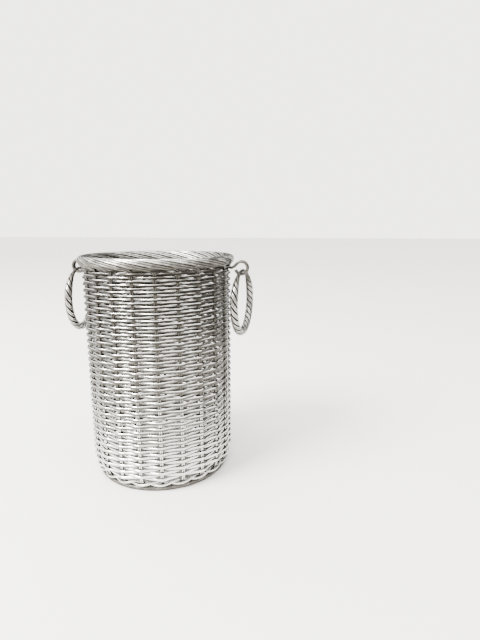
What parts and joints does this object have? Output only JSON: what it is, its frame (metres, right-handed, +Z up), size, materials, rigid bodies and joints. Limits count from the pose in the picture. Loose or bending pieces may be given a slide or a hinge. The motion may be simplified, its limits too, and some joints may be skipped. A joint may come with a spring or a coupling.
{
  "type": "wine bottle coaster",
  "caption": "Straight round basket of woven silver-plated wire with a rolled border, a low foot and rope-twist ring handles hung in wire eyes, for standing a bottle in.",
  "frame": {"origin": "centre of the foot on the surface that the coaster stands on", "axes": "+Z up along the basket's axis; the two ring handles hang on the +X and -X sides"},
  "size_m": [0.1392, 0.1152, 0.1651],
  "materials": {
    "stake_wire": "polished",
    "weaver_wire": "polished",
    "foot_wire": "polished",
    "base_sheet": "satin",
    "lug_wire": "polished",
    "ring_rope": "polished"
  },
  "bodies": {
    "basket": {"stake_01": "stake_wire", "stake_02": "stake_wire", "stake_03": "stake_wire", "stake_04": "stake_wire", "stake_05": "stake_wire", "stake_06": "stake_wire", "stake_07": "stake_wire", "stake_08": "stake_wire", "stake_09": "stake_wire", "stake_10": "stake_wire", "stake_11": "stake_wire", "stake_12": "stake_wire", "stake_13": "stake_wire", "stake_14": "stake_wire", "stake_15": "stake_wire", "stake_16": "stake_wire", "stake_17": "stake_wire", "stake_18": "stake_wire", "stake_19": "stake_wire", "stake_20": "stake_wire", "stake_21": "stake_wire", "stake_22": "stake_wire", "weaver_a_1": "weaver_wire", "weaver_a_2": "weaver_wire", "weaver_a_3": "weaver_wire", "weaver_a_4": "weaver_wire", "weaver_a_5": "weaver_wire", "weaver_b_1": "weaver_wire", "weaver_b_2": "weaver_wire", "weaver_b_3": "weaver_wire", "weaver_b_4": "weaver_wire", "weaver_b_5": "weaver_wire", "foot_twine_a": "foot_wire", "foot_twine_b": "foot_wire", "foot_hoop": "foot_wire", "rim_hoop": "foot_wire", "base_plate": "base_sheet", "lug_left": "lug_wire", "lug_right": "lug_wire"},
    "ring_left": {"ring_left": "ring_rope"},
    "ring_right": {"ring_right": "ring_rope"}
  },
  "joints": [
    {"name": "ring_left_swing", "type": "hinge", "parent": "basket", "child": "ring_left", "pos_m": [-0.06444, 0, 0.15371], "axis": [-0.1132, 0.9936, 0], "range_deg": [-6.5, 200]},
    {"name": "ring_right_swing", "type": "hinge", "parent": "basket", "child": "ring_right", "pos_m": [0.06444, 0, 0.15371], "axis": [-0.1132, -0.9936, 0], "range_deg": [-6.5, 200]}
  ]
}
